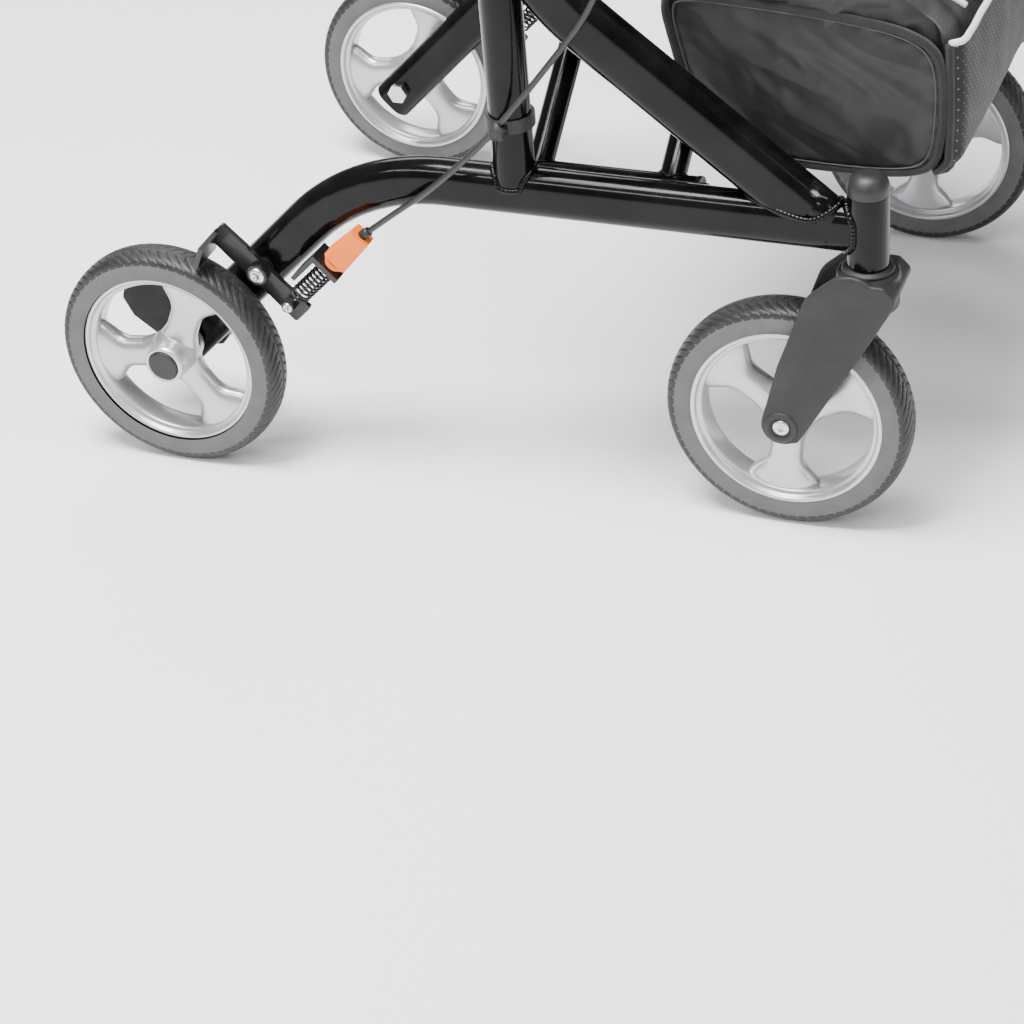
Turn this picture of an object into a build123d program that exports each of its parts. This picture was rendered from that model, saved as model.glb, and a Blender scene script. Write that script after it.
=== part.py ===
from build123d import *
import os
from math import asin, cos, degrees, pi, radians, sin, sqrt, tan

# Four-wheeled walker that folds sideways on an X-brace. All sizes are in millimetres.
# X points forward, Y to the user's left, Z up. The floor is Z = 0 and the mid-plane Y = 0.
# Each side is built on the right (negative Y) and mirrored to the left.

os.makedirs("parts", exist_ok=True)

# ---- driving dimensions -------------------------------------------------------------
WHEEL_R = 100
RIM_R = 78
TYRE_W = 32
REAR_X = -280
REAR_Y = -275
FRONT_X = 245
CASTER_X = 308
FRAME_Y = -237
RAIL_Z = 271
RAIL_H = 40
RAIL_W = 28
RAIL_CORNER_X = -106
TUBE_H = 46
WALL = 2
LEG_X = 27
LEG_R = 16.5
HEAD_R = 16
STEM_R = 10
LEAN = 8
TUBE_TOP = (-1, 720)
POST_R = 11
GRIP_Z = 895
CABLE_Y = -262
CABLE_R = 2.5
RUN = 0.05
PIVOT_Y = -209
PIVOT_Z = 271
SEAT_Z = 573
PIVOT_TUBE = (11, 165)
ARM_R = 10.5
SEAT_RAIL_R = 11
SEAT_RAIL = (-25, 260)
SEAT_BOARD = (-22, 214)
BRACE_A_ARMS = (35, 144)
BRACE_B_ARMS = (60, 120)
CENTRE_PIN_R = 4

# ---- directions used more than once -------------------------------------------------
lean_up = Vector(-sin(radians(LEAN)), 0, cos(radians(LEAN)))
lean_front = Vector(cos(radians(LEAN)), 0, sin(radians(LEAN)))


def post_x(z):
    """X of the leaning upright's centreline at height z."""
    return TUBE_TOP[0] - (z - TUBE_TOP[1]) * tan(radians(LEAN))


def section_plane(line):
    """Plane across the start of a path, local X along world Y."""
    return Plane(origin=line @ 0, x_dir=(0, 1, 0), z_dir=line % 0)


def side_plane(x, y, z):
    """Plane facing outward on the right side, local X along world X, local Y up."""
    return Plane(origin=(x, y, z), x_dir=(1, 0, 0), z_dir=(0, -1, 0))


def across(x, y, z):
    """Plane facing forward, local X along world Y."""
    return Plane(origin=(x, y, z), x_dir=(0, 1, 0), z_dir=(1, 0, 0))


def left_twin(builder, label):
    """Mirror a finished right-hand piece to the left side."""
    with BuildPart() as twin:
        add(mirror(builder.part, about=Plane.XZ))
    twin.part.label = label
    return twin


# ---- frame side ---------------------------------------------------------------------
axle_past = 19 / sqrt(2)
rail_points = [
    (CASTER_X, FRAME_Y, RAIL_Z),
    (RAIL_CORNER_X, FRAME_Y, RAIL_Z),
    (REAR_X - axle_past, FRAME_Y, RAIL_Z - (RAIL_CORNER_X - REAR_X + axle_past)),
]
main_points = [
    (262, FRAME_Y, 282),
    (post_x(462), FRAME_Y, 462),
    (TUBE_TOP[0], FRAME_Y, TUBE_TOP[1]),
]

with BuildPart() as rail_envelope:
    with BuildLine() as rail_path:
        FilletPolyline(*rail_points, radius=175)
    with BuildSketch(section_plane(rail_path.line)):
        SlotOverall(RAIL_H, RAIL_W, rotation=90)
    sweep()

with BuildPart() as main_envelope:
    with BuildLine() as main_path:
        FilletPolyline(*main_points, radius=200)
    with BuildSketch(section_plane(main_path.line)):
        SlotOverall(TUBE_H, RAIL_W, rotation=90)
    sweep()

with BuildPart() as head_tube:
    with BuildSketch(Plane.XY.offset(241)):
        with Locations((CASTER_X, FRAME_Y)):
            Circle(HEAD_R)
            Circle(STEM_R + RUN, mode=Mode.SUBTRACT)
    extrude(amount=60)
    chamfer(head_tube.faces().sort_by(Axis.Z)[0].outer_wire().edges(), 1)

with BuildPart() as head_envelope:
    with Locations((CASTER_X, FRAME_Y, 271)):
        Cylinder(HEAD_R, 80)

with BuildPart() as lower_rail:
    add(rail_envelope.part)
    with BuildSketch(section_plane(rail_path.line)):
        SlotOverall(RAIL_H - 2 * WALL, RAIL_W - 2 * WALL, rotation=90)
    sweep(path=rail_path.line, mode=Mode.SUBTRACT)
    end_plane = Plane(
        origin=rail_path.line @ 1,
        x_dir=(0, 1, 0),
        z_dir=(rail_path.line % 1) * -1,
    )
    with BuildSketch(end_plane):
        SlotOverall(RAIL_H, RAIL_W, rotation=90)
    extrude(amount=3)
    add(head_envelope.part, mode=Mode.SUBTRACT)
    with BuildSketch(side_plane(REAR_X, FRAME_Y, WHEEL_R)):
        Circle(6)
    extrude(amount=20, both=True, mode=Mode.SUBTRACT)

with BuildPart() as main_tube:
    add(main_envelope.part)
    with BuildSketch(section_plane(main_path.line)):
        SlotOverall(TUBE_H - 2 * WALL, RAIL_W - 2 * WALL, rotation=90)
    sweep(path=main_path.line, mode=Mode.SUBTRACT)
    add(rail_envelope.part, mode=Mode.SUBTRACT)

with BuildPart() as upright_leg:
    with BuildSketch(Plane.XY.offset(274)):
        with Locations((LEG_X, FRAME_Y)):
            Circle(LEG_R)
    extrude(amount=221)
    with BuildSketch(Plane.XY.offset(274)):
        with Locations((LEG_X, FRAME_Y)):
            Circle(LEG_R - WALL)
    extrude(amount=150, mode=Mode.SUBTRACT)
    add(rail_envelope.part, mode=Mode.SUBTRACT)
    add(main_envelope.part, mode=Mode.SUBTRACT)

with BuildPart() as head_cap:
    with BuildSketch(Plane.XY.offset(301)):
        with Locations((CASTER_X, FRAME_Y)):
            Circle(HEAD_R)
    extrude(amount=17)
    fillet(head_cap.faces().sort_by(Axis.Z)[-1].edges(), 12)

# The axle is a bolt through the rail. Its outer end carries the hub's cover.
with BuildPart() as rear_axle:
    with BuildSketch(side_plane(REAR_X, -216, WHEEL_R)):
        RegularPolygon(10, 6)
    extrude(amount=7)
    with BuildSketch(side_plane(REAR_X, -223, WHEEL_R)):
        Circle(6)
    extrude(amount=71)
    with BuildSketch(side_plane(REAR_X, -251, WHEEL_R)):
        Circle(12)
    extrude(amount=1.9)
    with BuildSketch(side_plane(REAR_X, -293.1, WHEEL_R)):
        Circle(13)
    extrude(amount=5.9)
    fillet(rear_axle.faces().sort_by(Axis.Y)[0].edges(), 2)

# ---- wheels -------------------------------------------------------------------------


def wheel_tyre(x, y):
    with BuildPart() as tyre:
        with BuildSketch(side_plane(x, y, WHEEL_R)):
            Circle(WHEEL_R)
            Circle(RIM_R, mode=Mode.SUBTRACT)
        extrude(amount=TYRE_W / 2, both=True)
        crown = tyre.edges().filter_by(GeomType.CIRCLE)
        fillet(crown.filter_by(lambda e: e.radius > WHEEL_R - 1), 8)
    return tyre


def wheel_rim(x, y, hub_in, hub_out, bore_r, first_spoke):
    """Stepped barrel, three wide spokes and a hub from hub_in to hub_out."""
    with BuildPart() as rim:
        with BuildSketch(side_plane(x, y, WHEEL_R)):
            Circle(RIM_R)
            Circle(73.5, mode=Mode.SUBTRACT)
        extrude(amount=15, both=True)
        with BuildSketch(side_plane(x, y, WHEEL_R)):
            Circle(74)
            Circle(69.5, mode=Mode.SUBTRACT)
        extrude(amount=11.5, both=True)
        with BuildSketch(side_plane(x, y, WHEEL_R)) as plate:
            Circle(70)
        extrude(amount=8, both=True)
        with BuildSketch(side_plane(x, y, WHEEL_R)) as windows:
            Circle(69.5)
            Circle(24, mode=Mode.SUBTRACT)
            with PolarLocations(0, 3, start_angle=first_spoke):
                Rectangle(90, 25, align=(Align.MIN, Align.CENTER), mode=Mode.SUBTRACT)
            fillet(windows.vertices(), 7)
        extrude(amount=12, both=True, mode=Mode.SUBTRACT)
        with BuildSketch(side_plane(x, hub_in, WHEEL_R)):
            Circle(17)
        extrude(amount=hub_in - hub_out)
        with BuildSketch(side_plane(x, hub_in + 1, WHEEL_R)):
            Circle(bore_r)
        extrude(amount=hub_in - hub_out + 2, mode=Mode.SUBTRACT)
    return rim


rear_tyre = wheel_tyre(REAR_X, REAR_Y)
rear_rim = wheel_rim(REAR_X, REAR_Y, -253, -293, 6 + RUN, 67)
front_tyre = wheel_tyre(FRONT_X, FRAME_Y)
front_rim = wheel_rim(FRONT_X, FRAME_Y, FRAME_Y + 19.5, FRAME_Y - 19.5, 5 + RUN, 25)

# ---- caster fork with its stem and the front axle -----------------------------------
fork_outline = [
    (290, 236),
    (326, 236),
    (336, 226),
    (331, 214),
    (307, 170),
    (288, 138),
    (265, 98),
    (257, 85),
    (232, 91),
    (229, 106),
    (260, 177),
    (284, 222),
]
with BuildPart() as caster_fork:
    with BuildSketch(side_plane(0, FRAME_Y, 0)) as fork_side:
        with BuildLine():
            Polyline(*fork_outline, close=True)
        make_face()
        fillet(fork_side.vertices(), 5)
    extrude(amount=27, both=True)
    with Locations((FRONT_X, FRAME_Y, 131)):
        Box(200, 40, 150, mode=Mode.SUBTRACT)
    with BuildSketch(Plane.XY.offset(206)):
        with Locations((CASTER_X, FRAME_Y)):
            Circle(24)
    extrude(amount=30)
    with BuildSketch(Plane.XY.offset(236)):
        with Locations((CASTER_X, FRAME_Y)):
            Circle(18)
    extrude(amount=4.6)
    with BuildSketch(Plane.XY.offset(236)):
        with Locations((CASTER_X, FRAME_Y)):
            Circle(STEM_R)
    extrude(amount=63)
    with BuildSketch(side_plane(FRONT_X, FRAME_Y, WHEEL_R)):
        Circle(5)
    extrude(amount=27, both=True)

# ---- rear brake ---------------------------------------------------------------------
# Local frame of the brake: u runs up the sloping rail, v down and forward from it.
brake_origin = (-196.5, 0, 180.5)


def brake_plane(y):
    return Plane(origin=(brake_origin[0], y, brake_origin[2]), x_dir=(1, 0, 1), z_dir=(0, 1, 0))


def brake_point(u, v):
    return (brake_origin[0] + (u + v) / sqrt(2), brake_origin[2] + (u - v) / sqrt(2))


CABLE_V = 36
shoe_angle = degrees(asin(0.379))

with BuildPart() as brake_bracket:
    with BuildSketch(brake_plane(-256)):
        Circle(9)
    extrude(amount=5)
    with BuildSketch(brake_plane(-262)):
        Circle(5)
    extrude(amount=6)
    with BuildSketch(brake_plane(-267)):
        Circle(9)
    extrude(amount=5)
    with BuildSketch(brake_plane(-272)):
        with Locations((44, 22)):
            Rectangle(32, 4)
        with Locations((57.5, 34)):
            Rectangle(5, 27.8)
    extrude(amount=24)

with BuildPart() as brake_arm:
    with BuildSketch(brake_plane(-261.5)) as arm_side:
        SlotOverall(98, 19, rotation=90)
        with Locations((0, 0)):
            Circle(5 + RUN, mode=Mode.SUBTRACT)
    extrude(amount=5)
    with BuildSketch(brake_plane(-291)):
        with Locations(Location((0, -48), 180 - shoe_angle)):
            Rectangle(20.5, 4.5, align=(Align.MIN, Align.CENTER))
    extrude(amount=34.5)
    with BuildSketch(brake_plane(-269)):
        with Locations((0, CABLE_V)):
            RegularPolygon(6, 6)
    extrude(amount=8)

with BuildPart() as brake_spring:
    with BuildLine() as coil:
        Helix(
            pitch=4.6,
            height=40.8,
            radius=7.5,
            center=(brake_point(12, CABLE_V)[0], CABLE_Y, brake_point(12, CABLE_V)[1]),
            direction=(1, 0, 1),
        )
    with BuildSketch(Plane(origin=coil.line @ 0, z_dir=coil.line % 0)):
        Circle(1.1)
    sweep(is_frenet=True)

# ---- brake cable and its clip on the upright leg ------------------------------------
start = brake_point(103, CABLE_V)
cable_points = [
    (start[0], CABLE_Y, start[1]),
    (-35, CABLE_Y, 275),
    (25, CABLE_Y, 334),
    (120, CABLE_Y, 453),
    (142, CABLE_Y, 620),
    (95, CABLE_Y, 800),
    (5, CABLE_Y, 872),
    (-75, CABLE_Y, 880),
]


def bend_radii(points):
    """Radius at each inner point: 0.45 of the shorter run over tan(half the turn)."""
    radii = []
    for before, here, after in zip(points, points[1:], points[2:]):
        run_in = Vector(*here) - Vector(*before)
        run_out = Vector(*after) - Vector(*here)
        turn = radians(run_in.get_angle(run_out))
        radii.append(0.45 * min(run_in.length, run_out.length) / tan(turn / 2))
    return radii


cable_radii = bend_radii(cable_points)
print("cable bend radii, mm:", [round(r) for r in cable_radii])

with BuildPart() as brake_cable:
    with BuildLine() as cable_path:
        FilletPolyline(*cable_points, radius=cable_radii)
    with BuildSketch(section_plane(cable_path.line)):
        Circle(CABLE_R)
    sweep()

cable_length = sum(edge.length for edge in cable_path.edges())
print("cable length, mm:", round(cable_length, 1))
print(
    "cable volume over section times length:",
    round(brake_cable.part.volume / (pi * CABLE_R**2 * cable_length), 4),
)

def adjuster_plane(u):
    """Plane across the cable's line at u, facing up along it."""
    x, z = brake_point(u, CABLE_V)
    return Plane(origin=(x, CABLE_Y, z), x_dir=(0, 1, 0), z_dir=(1, 0, 1))


with BuildPart() as brake_adjuster:
    with BuildSketch(adjuster_plane(60.2)):
        Circle(7)
    extrude(amount=9)
    with BuildSketch(adjuster_plane(64)):
        Circle(9.5)
    extrude(amount=3)
    with BuildSketch(adjuster_plane(69)):
        RectangleRounded(21, 22, 4)
    extrude(amount=34, taper=4)
    add(brake_cable.part, mode=Mode.SUBTRACT)

with BuildPart() as cable_clip:
    with BuildSketch(Plane.XY.offset(328)):
        with Locations((LEG_X, FRAME_Y)):
            Circle(LEG_R + 3)
    extrude(amount=10)
    with Locations((26, CABLE_Y + 1, 333)):
        Box(12, 12, 10)
    fillet(cable_clip.edges().filter_by(Axis.Z), 2)
    with BuildSketch(Plane.XY.offset(320)):
        with Locations((LEG_X, FRAME_Y)):
            Circle(LEG_R)
    extrude(amount=30, mode=Mode.SUBTRACT)
    add(brake_cable.part, mode=Mode.SUBTRACT)

# ---- handle, grip, lever and height adjustment --------------------------------------
handle_points = [
    (post_x(625), FRAME_Y, 625),
    (post_x(GRIP_Z), FRAME_Y, GRIP_Z),
    (-208, FRAME_Y, GRIP_Z),
]
with BuildPart() as handle_tube:
    with BuildLine() as handle_path:
        FilletPolyline(*handle_points, radius=55)
    with BuildSketch(section_plane(handle_path.line)):
        Circle(POST_R)
        Circle(POST_R - 1.5, mode=Mode.SUBTRACT)
    sweep()

# Half outline of the grip along its length, as distance behind its front and radius.
grip_outline = [
    (0, 15),
    (4, 18.5),
    (12, 18),
    (30, 15.5),
    (60, 17),
    (85, 15.5),
    (104, 17),
    (112, 14),
]
with BuildPart() as hand_grip:
    with BuildSketch(Plane(origin=(-100, FRAME_Y, GRIP_Z), x_dir=(-1, 0, 0), z_dir=(0, 1, 0))):
        with BuildLine():
            Line((0, 0), (0, 15))
            Spline(*grip_outline)
            Line((112, 14), (112, 0))
            Line((112, 0), (0, 0))
        make_face()
    revolve(axis=Axis((-100, FRAME_Y, GRIP_Z), (-1, 0, 0)))
    with BuildSketch(across(-208, FRAME_Y, GRIP_Z)):
        Circle(POST_R)
    extrude(amount=120, mode=Mode.SUBTRACT)

with BuildPart() as lever_mount:
    with BuildSketch(across(-99.4, FRAME_Y, GRIP_Z)):
        Circle(16)
        with Locations((0, -22)):
            RectangleRounded(28, 36, 4)
        with Locations((CABLE_Y - FRAME_Y, -15)):
            Circle(6.5)
        with Locations((-16, -15)):
            Rectangle(20, 11)
    extrude(amount=25.4)
    with BuildSketch(across(-100, FRAME_Y, GRIP_Z)):
        Circle(POST_R)
    extrude(amount=40, mode=Mode.SUBTRACT)
    with BuildSketch(across(-101, FRAME_Y, GRIP_Z)):
        with Locations((0, -32)):
            Rectangle(20, 22)
    extrude(amount=29, mode=Mode.SUBTRACT)
    with BuildSketch(side_plane(-84, FRAME_Y, 866)):
        Circle(3)
    extrude(amount=14, both=True)
    add(brake_cable.part, mode=Mode.SUBTRACT)

lever_points = [(-84, FRAME_Y, 866), (-112, FRAME_Y, 853), (-212, FRAME_Y, 846)]
with BuildPart() as brake_lever:
    with BuildLine() as lever_path:
        FilletPolyline(*lever_points, radius=40)
    with BuildSketch(section_plane(lever_path.line)):
        RectangleRounded(19, 9, 3)
    sweep()
    with BuildSketch(side_plane(-84, FRAME_Y, 866)):
        Circle(7)
    extrude(amount=9.5, both=True)
    with BuildSketch(side_plane(-84, FRAME_Y, 866)):
        Circle(3 + RUN)
    extrude(amount=12, both=True, mode=Mode.SUBTRACT)

top_plane = Plane(
    origin=(TUBE_TOP[0], FRAME_Y, TUBE_TOP[1]),
    x_dir=lean_front,
    z_dir=lean_up,
)
with BuildPart() as handle_collar:
    with BuildSketch(top_plane):
        SlotOverall(TUBE_H, RAIL_W)
    extrude(amount=26)
    with BuildSketch(top_plane):
        SlotOverall(TUBE_H - 2 * WALL, RAIL_W - 2 * WALL)
    extrude(amount=-30)
    knob_axis = Plane(origin=top_plane.from_local_coords((0, 0, 13)), x_dir=(0, 1, 0), z_dir=lean_front * -1)
    with BuildSketch(knob_axis):
        Circle(9)
    extrude(amount=29)
    with BuildSketch(top_plane.offset(-31)):
        Circle(POST_R + RUN)
    extrude(amount=60, mode=Mode.SUBTRACT)
    with BuildSketch(knob_axis):
        Circle(3 + RUN)
    extrude(amount=30, mode=Mode.SUBTRACT)

with BuildPart() as height_knob:
    with BuildSketch(knob_axis.offset(29.4)) as lobes:
        Circle(17)
        with PolarLocations(19, 6):
            Circle(5, mode=Mode.SUBTRACT)
    extrude(amount=14)
    with BuildSketch(knob_axis.offset(11.3)):
        Circle(3)
    extrude(amount=19)

# ---- pivots and seat saddles on the frame -------------------------------------------
with BuildPart() as pivot_mount:
    for lug_x in (PIVOT_TUBE[0] - 5, PIVOT_TUBE[1] + 1):
        with BuildSketch(across(lug_x, PIVOT_Y, PIVOT_Z)):
            Circle(12)
            with Locations((-7, 0)):
                Rectangle(14, 24)
        extrude(amount=4)
    with BuildSketch(across(PIVOT_TUBE[0] - 10, PIVOT_Y, PIVOT_Z)):
        RegularPolygon(7, 6)
    extrude(amount=6)
    with BuildSketch(across(PIVOT_TUBE[0] - 5, PIVOT_Y, PIVOT_Z)):
        Circle(4)
    extrude(amount=PIVOT_TUBE[1] - PIVOT_TUBE[0] + 10)
    with BuildSketch(across(PIVOT_TUBE[1] + 5, PIVOT_Y, PIVOT_Z)):
        RegularPolygon(7, 6)
    extrude(amount=5)

with BuildPart() as seat_saddle:
    with BuildSketch(across(0, PIVOT_Y, SEAT_Z)) as cradle:
        with Locations((0.5, -8)):
            RectangleRounded(29, 24, 3)
        with Locations((0, 12)):
            Rectangle(40, 24, mode=Mode.SUBTRACT)
        Circle(SEAT_RAIL_R + 0.3, mode=Mode.SUBTRACT)
    extrude(amount=22)

# ---- X-brace ------------------------------------------------------------------------
brace_rise = SEAT_Z - PIVOT_Z
brace_run = -2 * PIVOT_Y
brace_length = sqrt(brace_rise**2 + brace_run**2)
centre_z = (SEAT_Z + PIVOT_Z) / 2


def brace(side, arm_positions, centre_hole_r):
    """Pivot tube at the bottom on one side, two arms, seat rail at the top on the other."""
    with BuildPart() as half:
        with BuildSketch(across(PIVOT_TUBE[0], side * PIVOT_Y, PIVOT_Z)):
            Circle(11.5)
        extrude(amount=PIVOT_TUBE[1] - PIVOT_TUBE[0])
        with BuildSketch(across(SEAT_RAIL[0], -side * PIVOT_Y, SEAT_Z)):
            Circle(SEAT_RAIL_R)
        extrude(amount=SEAT_RAIL[1] - SEAT_RAIL[0])
        for arm_x in arm_positions:
            foot = Plane(
                origin=(arm_x, side * PIVOT_Y, PIVOT_Z),
                x_dir=(1, 0, 0),
                z_dir=(0, side * brace_run, brace_rise),
            )
            with BuildSketch(foot):
                Circle(ARM_R)
            extrude(amount=brace_length)
        with BuildSketch(across(0, 0, centre_z)):
            Circle(centre_hole_r)
        extrude(amount=180, mode=Mode.SUBTRACT)
        with BuildSketch(across(0, side * PIVOT_Y, PIVOT_Z)):
            Circle(4 + RUN)
        extrude(amount=180, mode=Mode.SUBTRACT)
    return half


brace_a = brace(1, BRACE_A_ARMS, CENTRE_PIN_R)
brace_b = brace(-1, BRACE_B_ARMS, CENTRE_PIN_R + RUN)

# Two bolts join the braces; each has a head, a spacer between the arms and a nut.
with BuildPart() as centre_bolts:
    with BuildSketch(across(BRACE_A_ARMS[0] - ARM_R - 5, 0, centre_z)):
        RegularPolygon(8, 6)
    extrude(amount=5)
    with BuildSketch(across(BRACE_A_ARMS[0] - ARM_R - 1, 0, centre_z)):
        Circle(CENTRE_PIN_R)
    extrude(amount=49)
    with BuildSketch(across(BRACE_A_ARMS[0] + ARM_R, 0, centre_z)):
        Circle(8)
    extrude(amount=3.7)
    with BuildSketch(across(BRACE_B_ARMS[0] + ARM_R + 0.3, 0, centre_z)):
        RegularPolygon(8, 6)
    extrude(amount=6)
    with BuildSketch(across(BRACE_B_ARMS[1] - ARM_R - 6.3, 0, centre_z)):
        RegularPolygon(8, 6)
    extrude(amount=6)
    with BuildSketch(across(BRACE_B_ARMS[1] - ARM_R - 2, 0, centre_z)):
        Circle(CENTRE_PIN_R)
    extrude(amount=49)
    with BuildSketch(across(BRACE_B_ARMS[1] + ARM_R + 0.3, 0, centre_z)):
        Circle(8)
    extrude(amount=2.7)
    with BuildSketch(across(BRACE_A_ARMS[1] + ARM_R, 0, centre_z)):
        RegularPolygon(8, 6)
    extrude(amount=5)

# ---- seat ---------------------------------------------------------------------------
BOARD_GAP = 37
BOARD_EDGE = -181


def seat_half(sleeves):
    """Padded board with sleeves round the right seat rail between the brace arms."""
    with BuildPart() as half:
        length = SEAT_BOARD[1] - SEAT_BOARD[0]
        with BuildSketch(across(SEAT_BOARD[0], (BOARD_EDGE - BOARD_GAP) / 2, SEAT_Z + 4)):
            RectangleRounded(-BOARD_EDGE - BOARD_GAP, 18, 5)
        extrude(amount=length)
        for low, high in sleeves:
            with BuildSketch(across(low, PIVOT_Y, SEAT_Z)):
                Circle(13.3)
                with Locations((16, 4)):
                    Rectangle(32, 18)
                Circle(SEAT_RAIL_R + 0.3, mode=Mode.SUBTRACT)
            extrude(amount=high - low)
    return half


seat_right = seat_half([(-22, -5), (28, 47), (73, 107), (133, 214)])
seat_left_mirror = seat_half([(-22, -5), (48, 131), (157, 214)])

with BuildPart() as seat_web:
    with Locations((92, -0.2, SEAT_Z + 8)):
        Box(170, 2 * BOARD_GAP - 0.4, 4)

# ---- back strap, bag and curb pedal -------------------------------------------------
STRAP_Z = 743
strap_front = [
    (22, FRAME_Y, STRAP_Z),
    (150, FRAME_Y, STRAP_Z),
    (246, FRAME_Y + 85, STRAP_Z),
    (252, 0, STRAP_Z),
    (246, -FRAME_Y - 85, STRAP_Z),
    (150, -FRAME_Y, STRAP_Z),
    (22, -FRAME_Y, STRAP_Z),
]
with BuildPart() as back_strap:
    with BuildLine() as strap_path:
        FilletPolyline(*strap_front, radius=120)
    with BuildSketch(section_plane(strap_path.line)):
        RectangleRounded(14, 42, 5)
    sweep()
    add(handle_collar.part, mode=Mode.SUBTRACT)
    add(mirror(handle_collar.part, about=Plane.XZ), mode=Mode.SUBTRACT)
    add(main_envelope.part, mode=Mode.SUBTRACT)
    add(mirror(main_envelope.part, about=Plane.XZ), mode=Mode.SUBTRACT)

bag_outline = [
    (172, 292),
    (372, 292),
    (380, 302),
    (380, 410),
    (364, 426),
    (300, 470),
    (272, 556),
    (176, 556),
]
with BuildPart() as storage_bag:
    with BuildSketch(side_plane(0, 0, 0)) as bag_side:
        with BuildLine():
            Polyline(*bag_outline, close=True)
        make_face()
        fillet(bag_side.vertices(), 9)
    extrude(amount=203, both=True)
    fillet(storage_bag.faces().sort_by(Axis.Y)[0].edges(), 6)
    fillet(storage_bag.faces().sort_by(Axis.Y)[-1].edges(), 6)
    for fin_y in (-195.5, 195.5):
        with BuildSketch(side_plane(0, fin_y, 0)) as fin:
            with BuildLine():
                Polyline((184, 318), (170, 322), (137, 424), (138, 436), (184, 470), close=True)
            make_face()
            fillet(fin.vertices().group_by(Axis.X)[0], 3)
        extrude(amount=7, both=True)

pedal_outline = [
    (-354, 114),
    (-350, 127),
    (-302, 133),
    (-256, 120),
    (-250, 99),
    (-262, 80),
    (-290, 73),
    (-322, 79),
    (-346, 97),
]
with BuildPart() as curb_pedal:
    with BuildSketch(side_plane(0, -196, 0)) as pedal_side:
        with BuildLine():
            Polyline(*pedal_outline, close=True)
        make_face()
        fillet(pedal_side.vertices(), 4)
    extrude(amount=27)
    with BuildSketch(side_plane(REAR_X, -190, WHEEL_R)):
        Circle(12)
    extrude(amount=36, mode=Mode.SUBTRACT)

# ---- naming and export --------------------------------------------------------------
paired = {
    "lower_rail": lower_rail,
    "main_tube": main_tube,
    "upright_leg": upright_leg,
    "head_tube": head_tube,
    "head_cap": head_cap,
    "rear_axle": rear_axle,
    "rear_tyre": rear_tyre,
    "rear_rim": rear_rim,
    "front_tyre": front_tyre,
    "front_rim": front_rim,
    "caster_fork": caster_fork,
    "brake_bracket": brake_bracket,
    "brake_arm": brake_arm,
    "brake_spring": brake_spring,
    "brake_adjuster": brake_adjuster,
    "brake_cable": brake_cable,
    "cable_clip": cable_clip,
    "handle_tube": handle_tube,
    "hand_grip": hand_grip,
    "lever_mount": lever_mount,
    "brake_lever": brake_lever,
    "handle_collar": handle_collar,
    "height_knob": height_knob,
    "pivot_mount": pivot_mount,
    "seat_saddle": seat_saddle,
}
for name, right in paired.items():
    right.part.label = name + "_right"
    export_step(right.part, "parts/" + name + "_right.step")
    left = left_twin(right, name + "_left")
    export_step(left.part, "parts/" + name + "_left.step")

seat_left = left_twin(seat_left_mirror, "seat_left")
single = {
    "brace_a": brace_a,
    "brace_b": brace_b,
    "centre_bolts": centre_bolts,
    "seat_right": seat_right,
    "seat_left": seat_left,
    "seat_web": seat_web,
    "back_strap": back_strap,
    "storage_bag": storage_bag,
    "curb_pedal": curb_pedal,
}
for name, piece in single.items():
    piece.part.label = name
    export_step(piece.part, "parts/" + name + ".step")
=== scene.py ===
import math

import bmesh
import bpy
import numpy as np
from mathutils import Matrix, Vector, noise


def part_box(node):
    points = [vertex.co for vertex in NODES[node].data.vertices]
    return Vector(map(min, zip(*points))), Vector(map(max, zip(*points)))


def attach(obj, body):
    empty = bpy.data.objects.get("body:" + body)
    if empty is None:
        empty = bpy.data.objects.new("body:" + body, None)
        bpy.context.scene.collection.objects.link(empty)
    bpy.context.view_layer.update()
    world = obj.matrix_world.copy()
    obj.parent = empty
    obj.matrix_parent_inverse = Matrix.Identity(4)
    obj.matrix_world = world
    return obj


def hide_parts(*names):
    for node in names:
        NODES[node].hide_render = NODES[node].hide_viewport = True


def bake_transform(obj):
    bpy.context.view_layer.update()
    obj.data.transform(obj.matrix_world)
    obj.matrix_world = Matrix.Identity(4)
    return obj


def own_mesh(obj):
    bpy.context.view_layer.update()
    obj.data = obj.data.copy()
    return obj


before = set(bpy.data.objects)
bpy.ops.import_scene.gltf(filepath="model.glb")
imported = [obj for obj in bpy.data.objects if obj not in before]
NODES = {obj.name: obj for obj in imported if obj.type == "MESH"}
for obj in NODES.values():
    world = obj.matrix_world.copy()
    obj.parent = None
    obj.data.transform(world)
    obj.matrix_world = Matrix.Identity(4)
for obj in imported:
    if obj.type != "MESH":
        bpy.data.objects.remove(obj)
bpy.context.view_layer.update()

SIDES = (("right", -1), ("left", 1))

# Places on the CAD model, in metres.
FRAME_Y = 0.237
RAIL_Z = 0.271
RAIL_HALF_WIDTH = 0.014
LEG_X = 0.027
HEAD_X = 0.308
PIVOT_Y = 0.209
SEAT_RAIL_Z = 0.573
AXLE_Z = 0.1
FRONT_AXLE_X = 0.245
REAR_AXLE_X = -0.28
CABLE_Y = 0.262
STRAP_Z = 0.743
DIAGONAL_SLOPE = math.radians(38.3)
BRAKE_PIVOT = (-0.1965, 0.1805)
CABLE_LINE = 0.036


def brake_point(u, v):
    """X and Z of a point u up the rail and v down and forward from the brake's pivot."""
    return BRAKE_PIVOT[0] + (u + v) / math.sqrt(2), BRAKE_PIVOT[1] + (u - v) / math.sqrt(2)


# ---- materials ----------------------------------------------------------------------


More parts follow.
